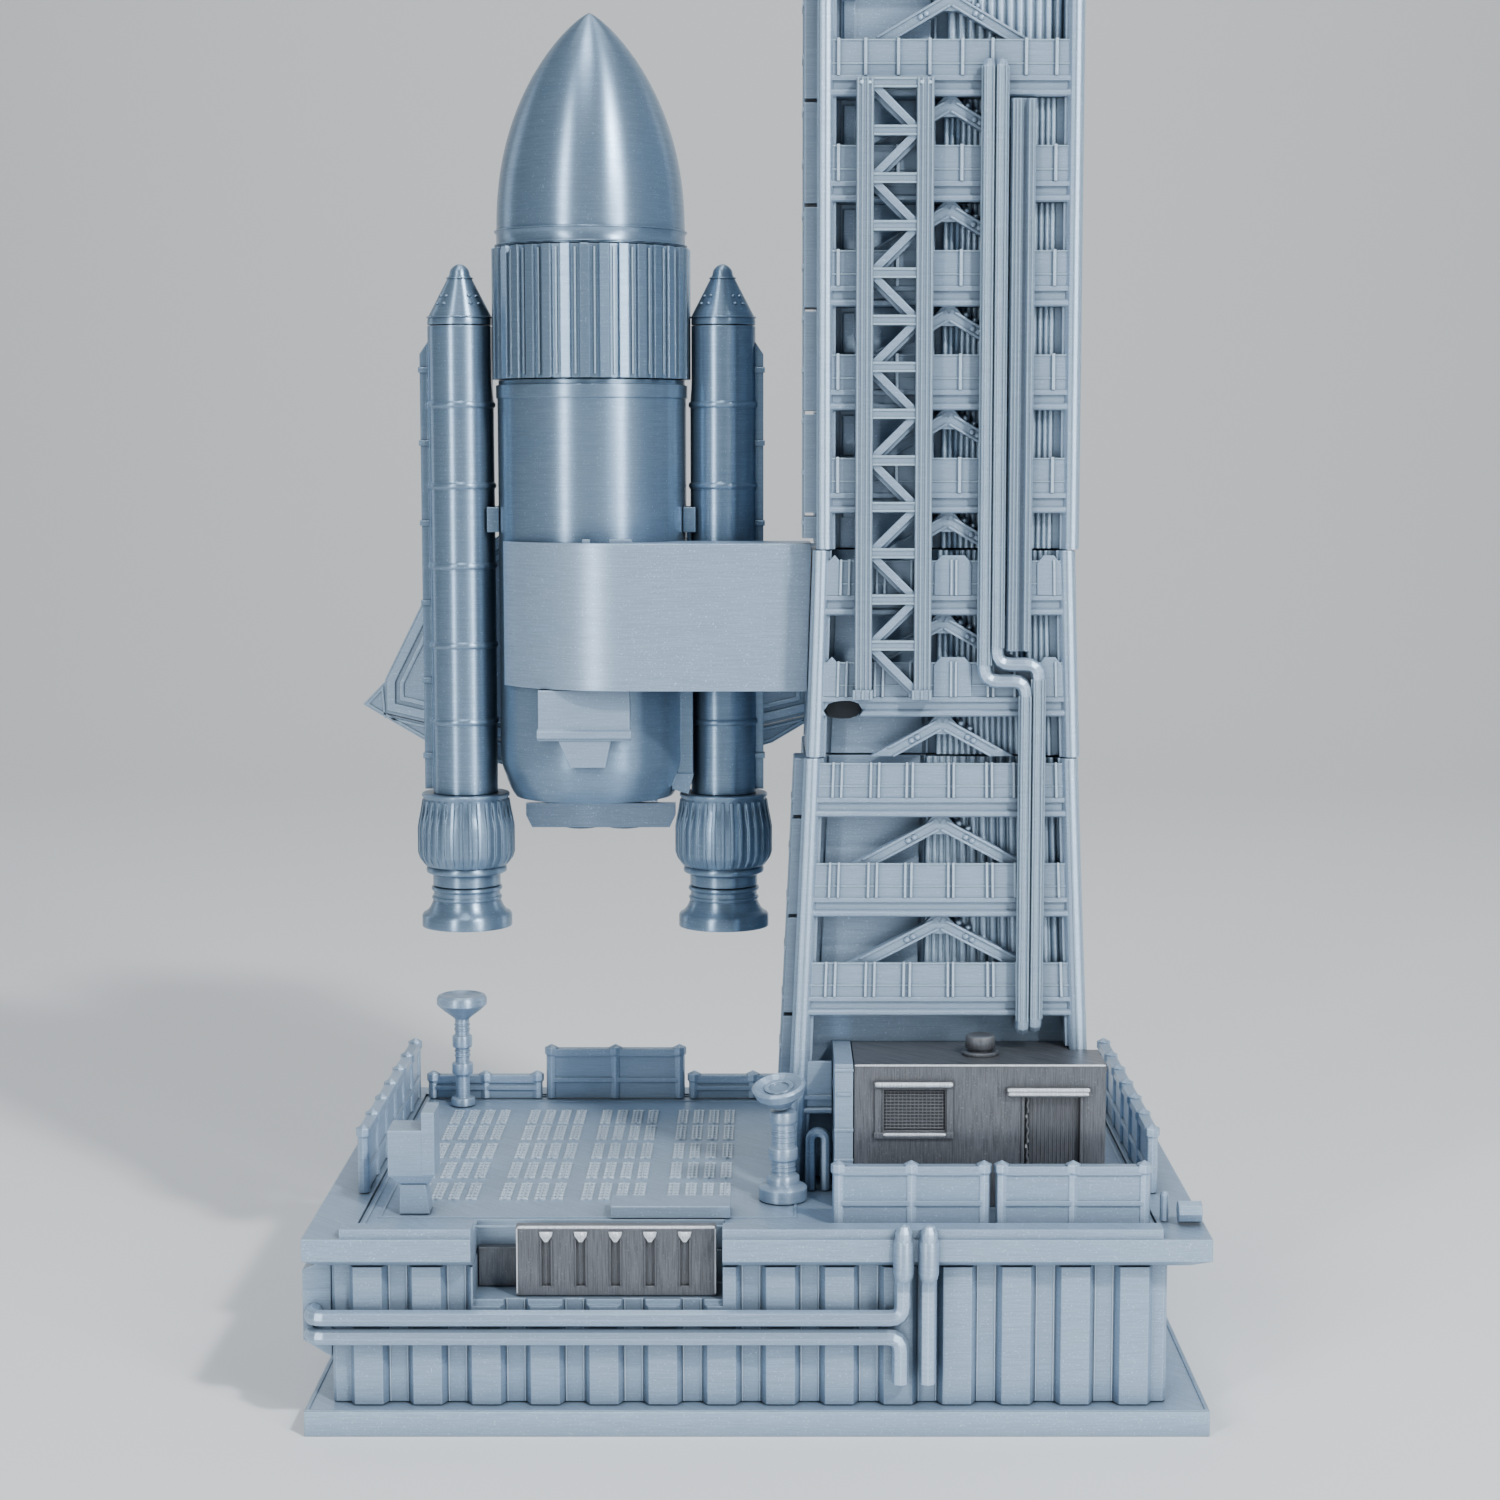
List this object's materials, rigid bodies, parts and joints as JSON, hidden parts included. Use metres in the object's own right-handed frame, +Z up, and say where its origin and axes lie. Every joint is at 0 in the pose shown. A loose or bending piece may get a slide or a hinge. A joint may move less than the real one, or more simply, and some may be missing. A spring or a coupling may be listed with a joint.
{
  "type": "display model of a space rocket with its launch pad and service tower",
  "caption": "Static desk model: a finned-band rocket with side boosters and a winged orbiter, held by a tower's arm over a ribbed launch pad.",
  "frame": {"origin": "middle of the pad's underside, on the surface the model stands on", "axes": "+Z up along the tower, -Y towards the front of the pad with its slot and pipes, +X towards the tower's side"},
  "size_m": [0.2019, 0.1531, 0.3331],
  "materials": {
    "print_grey": "silver grey printed plastic with fine layer lines and a silky sheen",
    "dark_bronze": "dark grey-bronze printed plastic with fine lines and a silky sheen"
  },
  "bodies": {
    "root": {"booster_left_body": "print_grey", "booster_left_nose": "print_grey", "booster_left_nozzle": "print_grey", "booster_left_skirt": "print_grey", "booster_right_body": "print_grey", "booster_right_nose": "print_grey", "booster_right_nozzle": "print_grey", "booster_right_skirt": "print_grey", "cabin": "dark_bronze", "cabin_column": "print_grey", "cabin_vent": "dark_bronze", "deck": "print_grey", "dish": "print_grey", "dish_mast": "print_grey", "hose_arch": "print_grey", "lamp_box": "print_grey", "lamp_pedestal": "print_grey", "lift_truss": "print_grey", "mast_left": "print_grey", "orbiter_body_flap": "print_grey", "orbiter_elevon_left": "print_grey", "orbiter_elevon_right": "print_grey", "orbiter_engines": "print_grey", "orbiter_fin": "print_grey", "orbiter_fuselage": "print_grey", "orbiter_nose": "print_grey", "orbiter_pod_left": "print_grey", "orbiter_pod_right": "print_grey", "orbiter_wing_left": "print_grey", "orbiter_wing_right": "print_grey", "pad_foot": "print_grey", "pad_rim": "print_grey", "pad_side_box": "print_grey", "pad_wall": "print_grey", "pipe_bundle": "print_grey", "pipe_long_lower": "print_grey", "pipe_long_upper": "print_grey", "pipe_pair": "print_grey", "pipe_riser": "print_grey", "railing_back_left": "print_grey", "railing_back_middle": "print_grey", "railing_back_right": "print_grey", "railing_front_middle": "print_grey", "railing_front_right": "print_grey", "railing_left": "print_grey", "railing_right": "print_grey", "rim_bollard": "print_grey", "rim_post": "print_grey", "slot_block": "dark_bronze", "slot_lintel": "print_grey", "support_arm": "print_grey", "tank_barrel": "print_grey", "tank_bracket": "print_grey", "tank_fluted_band": "print_grey", "tank_nose": "print_grey", "tower_lower": "print_grey", "tower_middle": "print_grey", "tower_roof": "print_grey", "tower_upper": "print_grey"}
  },
  "joints": []
}
